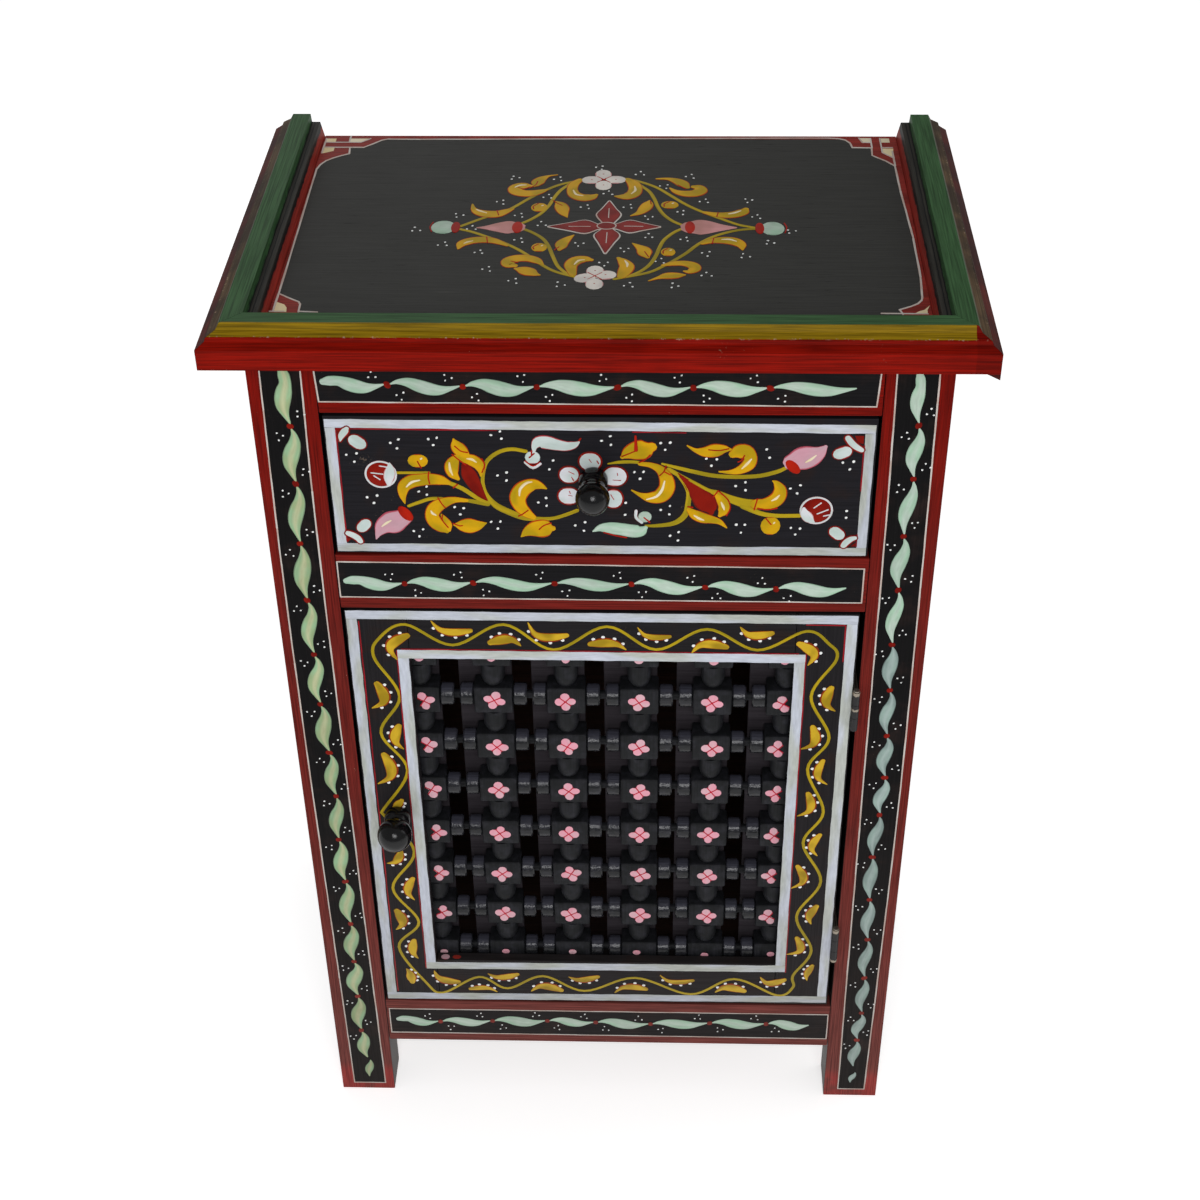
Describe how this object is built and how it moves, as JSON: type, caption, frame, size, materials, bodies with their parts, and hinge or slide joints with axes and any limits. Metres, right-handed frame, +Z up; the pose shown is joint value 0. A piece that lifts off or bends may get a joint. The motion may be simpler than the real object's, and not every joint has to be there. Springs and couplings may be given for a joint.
{
  "type": "painted bedside cabinet",
  "caption": "Small painted wooden cabinet on square legs with a drawer above a hinged door filled with a turned lattice, and a tray-like moulded top.",
  "frame": {"origin": "on the floor below the middle of the top's outline", "axes": "+X to the right as seen from the front, the front faces -Y, +Z up"},
  "size_m": [0.4592, 0.3, 0.702],
  "materials": {
    "frame_paint": "black gloss paint with oxblood borders, white lines and a painted leaf vine",
    "rail_paint": "black gloss paint with oxblood borders, white lines and painted leaves",
    "carcass_paint": "oxblood satin paint over panel boards",
    "inside_stain": "dark red-brown stain, matt",
    "top_paint": "charcoal satin paint with a painted medallion and red border",
    "moulding_paint": "oxblood, ochre, green and black bands of satin paint",
    "drawer_paint": "black gloss paint with a white border and painted flowers",
    "door_paint": "black gloss paint with white borders and a yellow vine",
    "lattice_paint": "black gloss paint with small pink flowers",
    "bare_wood": "bare sanded softwood",
    "knob_paint": "black gloss paint",
    "hinge_metal": "steel hinge overpainted black and worn",
    "screw_metal": "plain steel"
  },
  "bodies": {
    "carcass": {"front_left_leg": "frame_paint", "front_right_leg": "frame_paint", "rear_left_leg": "frame_paint", "rear_right_leg": "frame_paint", "front_top_rail": "rail_paint", "front_middle_rail": "rail_paint", "front_bottom_rail": "rail_paint", "rear_top_rail": "rail_paint", "rear_bottom_rail": "rail_paint", "left_side_panel": "carcass_paint", "right_side_panel": "carcass_paint", "back_panel": "carcass_paint", "bottom_board": "inside_stain", "left_drawer_runner": "inside_stain", "right_drawer_runner": "inside_stain", "left_top_cleat": "inside_stain", "right_top_cleat": "inside_stain", "top_panel": "top_paint", "top_front_moulding": "moulding_paint", "top_left_moulding": "moulding_paint", "top_right_moulding": "moulding_paint", "catch_body": "inside_stain", "upper_hinge_frame_leaf": "hinge_metal", "lower_hinge_frame_leaf": "hinge_metal", "upper_hinge_pin": "hinge_metal", "lower_hinge_pin": "hinge_metal"},
    "drawer": {"drawer_front": "drawer_paint", "drawer_left_side": "bare_wood", "drawer_right_side": "bare_wood", "drawer_back": "bare_wood", "drawer_bottom": "bare_wood", "drawer_knob": "knob_paint", "drawer_knob_screw": "screw_metal"},
    "door": {"door_left_stile": "door_paint", "door_right_stile": "door_paint", "door_top_rail": "door_paint", "door_bottom_rail": "door_paint", "lattice_stick_1": "lattice_paint", "lattice_stick_2": "lattice_paint", "lattice_stick_3": "lattice_paint", "lattice_stick_4": "lattice_paint", "lattice_stick_5": "lattice_paint", "lattice_stick_6": "lattice_paint", "lattice_row_1": "lattice_paint", "lattice_row_2": "lattice_paint", "lattice_row_3": "lattice_paint", "lattice_row_4": "lattice_paint", "lattice_row_5": "lattice_paint", "lattice_row_6": "lattice_paint", "lattice_row_7": "lattice_paint", "lattice_row_8": "lattice_paint", "lattice_backing": "inside_stain", "door_knob": "knob_paint", "door_knob_screw": "screw_metal", "upper_hinge_door_leaf": "hinge_metal", "lower_hinge_door_leaf": "hinge_metal", "catch_plate": "screw_metal"}
  },
  "joints": [
    {"name": "drawer_slide", "type": "slide", "parent": "carcass", "child": "drawer", "axis": [0, -1, 0], "range_m": [0, 0.18]},
    {"name": "door_hinge", "type": "hinge", "parent": "carcass", "child": "door", "pos_m": [0.1674, -0.1199, 0.2925], "axis": [0, 0, 1], "range_deg": [0, 110]}
  ]
}
